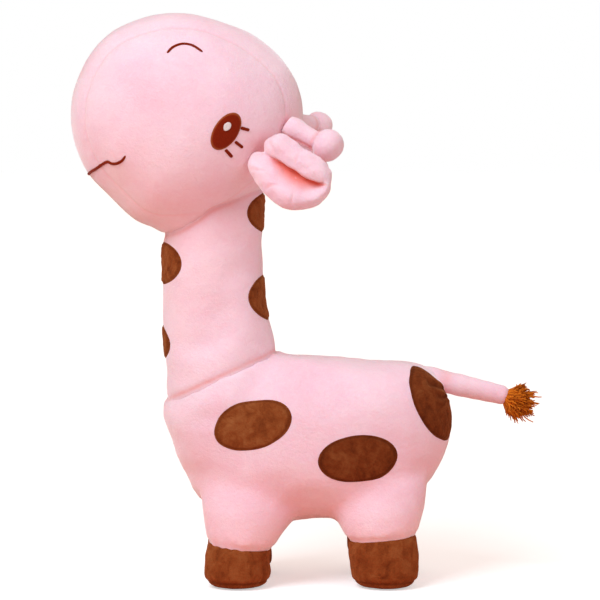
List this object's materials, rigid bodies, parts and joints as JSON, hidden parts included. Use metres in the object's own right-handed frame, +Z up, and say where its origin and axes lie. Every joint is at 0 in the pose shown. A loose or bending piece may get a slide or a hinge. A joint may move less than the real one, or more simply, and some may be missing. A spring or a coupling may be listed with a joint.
{
  "type": "stuffed toy giraffe",
  "caption": "Standing plush toy giraffe with a big round head, folded ears, soft horns, a long neck, sewn-on oval spots, brown hooves and a tail with a yarn tuft.",
  "frame": {"origin": "on the floor, under the middle of the toy's bounding box", "axes": "+Z up, the head towards -X and the tail towards +X, the giraffe's own left side towards -Y"},
  "size_m": [0.3296, 0.161, 0.3953],
  "materials": {
    "plush": "short-pile plush, pale pink",
    "brown_plush": "short crushed plush, chestnut brown",
    "brown_thread": "satin-stitched brown thread",
    "pale_thread": "satin-stitched off-white thread",
    "yarn": "loose orange-brown yarn",
    "filling": "soft polyester filling, hidden"
  },
  "bodies": {
    "toy": {"head_side_left": "plush", "head_side_right": "plush", "head_gusset": "plush", "head_filling": "filling", "body_side_left": "plush", "body_side_right": "plush", "body_filling": "filling", "neck_cover": "plush", "neck_filling": "filling", "leg_cover_front_left": "plush", "hoof_cover_front_left": "brown_plush", "sole_front_left": "brown_plush", "leg_filling_front_left": "filling", "leg_cover_front_right": "plush", "hoof_cover_front_right": "brown_plush", "sole_front_right": "brown_plush", "leg_filling_front_right": "filling", "leg_cover_hind_left": "plush", "hoof_cover_hind_left": "brown_plush", "sole_hind_left": "brown_plush", "leg_filling_hind_left": "filling", "leg_cover_hind_right": "plush", "hoof_cover_hind_right": "brown_plush", "sole_hind_right": "brown_plush", "leg_filling_hind_right": "filling", "spot_shoulder_left": "brown_plush", "spot_belly_left": "brown_plush", "spot_rump_left": "brown_plush", "spot_shoulder_right": "brown_plush", "spot_belly_right": "brown_plush", "spot_rump_right": "brown_plush", "spot_throat_upper": "brown_plush", "spot_throat_lower": "brown_plush", "spot_nape_upper": "brown_plush", "spot_nape_lower": "brown_plush", "eye_left": "brown_thread", "eye_highlight_left": "pale_thread", "nostril_left": "brown_thread", "lash_left_1": "brown_thread", "lash_left_2": "brown_thread", "lash_left_3": "brown_thread", "eye_right": "brown_thread", "eye_highlight_right": "pale_thread", "nostril_right": "brown_thread", "lash_right_1": "brown_thread", "lash_right_2": "brown_thread", "lash_right_3": "brown_thread", "mouth": "brown_thread"},
    "ear_left": {"ear_left": "plush"},
    "ear_right": {"ear_right": "plush"},
    "horn_left": {"horn_stalk_left": "plush", "horn_knob_left": "plush"},
    "horn_right": {"horn_stalk_right": "plush", "horn_knob_right": "plush"},
    "tail": {"tail_tube": "plush"},
    "tuft": {"tail_tuft": "yarn"}
  },
  "joints": [
    {"name": "ear_left_flap", "type": "hinge", "parent": "toy", "child": "ear_left", "pos_m": [-0.0302, -0.05005, 0.29964], "axis": [0.5241, 0.0201, 0.8514], "range_deg": [-30, 12], "stiffness_Nm_per_rad": 0.04},
    {"name": "ear_right_flap", "type": "hinge", "parent": "toy", "child": "ear_right", "pos_m": [-0.0302, 0.05005, 0.29964], "axis": [0.5241, -0.0201, 0.8514], "range_deg": [-12, 30], "stiffness_Nm_per_rad": 0.04},
    {"name": "horn_left_bend", "type": "hinge", "parent": "toy", "child": "horn_left", "pos_m": [-0.00937, -0.03529, 0.31751], "axis": [0, 1, 0], "range_deg": [-12, 8], "stiffness_Nm_per_rad": 0.06},
    {"name": "horn_right_bend", "type": "hinge", "parent": "toy", "child": "horn_right", "pos_m": [-0.00937, 0.03529, 0.31751], "axis": [0, 1, 0], "range_deg": [-12, 8], "stiffness_Nm_per_rad": 0.06},
    {"name": "tail_lift", "type": "hinge", "parent": "toy", "child": "tail", "pos_m": [0.10403, 0, 0.1386], "axis": [0, 1, 0], "range_deg": [-45, 15], "stiffness_Nm_per_rad": 0.06},
    {"name": "tuft_sway", "type": "hinge", "parent": "tail", "child": "tuft", "pos_m": [0.13619, 0, 0.13118], "axis": [0, 0, 1], "range_deg": [-25, 25], "stiffness_Nm_per_rad": 0.02}
  ]
}
